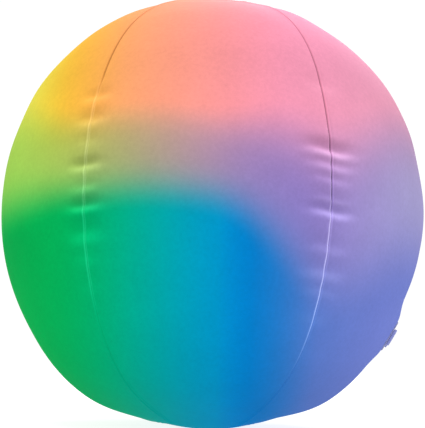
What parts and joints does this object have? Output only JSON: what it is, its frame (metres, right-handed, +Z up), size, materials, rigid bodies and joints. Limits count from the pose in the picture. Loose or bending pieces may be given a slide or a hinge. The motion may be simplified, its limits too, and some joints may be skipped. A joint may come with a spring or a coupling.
{
  "type": "inflatable beach ball",
  "caption": "Fabric-covered inflatable beach ball with sewn panels, round end caps, an inner bladder and a push-in valve with a tethered plug.",
  "frame": {"origin": "centre of the flat on the bottom end cap, the point the ball rests on", "axes": "+Z up the polar axis, through the middle of both end caps; -Y through the middle of panel 1, the side the picture shows; the valve is low in panel 2, near +X"},
  "size_m": [0.388, 0.388, 0.3929],
  "materials": {
    "cover_cloth": "matte",
    "thread": "satin",
    "binding": "matte",
    "bladder_film": "gloss",
    "valve_vinyl": "satin"
  },
  "bodies": {
    "ball": {"cover_panel_1": "cover_cloth", "cover_panel_2": "cover_cloth", "cover_panel_3": "cover_cloth", "cover_panel_4": "cover_cloth", "cover_panel_5": "cover_cloth", "cover_panel_6": "cover_cloth", "cover_cap_top": "cover_cloth", "cover_cap_bottom": "cover_cloth", "panel_seam_thread_1": "thread", "panel_seam_thread_2": "thread", "panel_seam_thread_3": "thread", "panel_seam_thread_4": "thread", "panel_seam_thread_5": "thread", "panel_seam_thread_6": "thread", "cap_seam_thread_top": "thread", "cap_seam_thread_bottom": "thread", "valve_opening_binding": "binding", "bladder_gore_1": "bladder_film", "bladder_gore_2": "bladder_film", "bladder_gore_3": "bladder_film", "bladder_gore_4": "bladder_film", "bladder_gore_5": "bladder_film", "bladder_gore_6": "bladder_film", "bladder_disc_top": "bladder_film", "bladder_disc_bottom": "bladder_film", "valve_flange": "valve_vinyl"},
    "stem": {"valve_stem": "valve_vinyl"},
    "plug": {"valve_plug": "valve_vinyl"},
    "flap": {"valve_flap": "bladder_film"}
  },
  "joints": [
    {"name": "valve_stem_slide", "type": "slide", "parent": "ball", "child": "stem", "axis": [0.8554, -0.1355, -0.5], "range_m": [0, 0.012]},
    {"name": "valve_plug_hinge", "type": "hinge", "parent": "stem", "child": "plug", "pos_m": [0.15917, -0.02521, 0.07654], "axis": [0.1564, 0.9877, 0], "range_deg": [0, 130]},
    {"name": "valve_flap_hinge", "type": "hinge", "parent": "stem", "child": "flap", "pos_m": [0.15401, -0.02439, 0.09769], "axis": [0.1564, 0.9877, 0], "range_deg": [0, 60], "stiffness_Nm_per_rad": 0.00002}
  ]
}
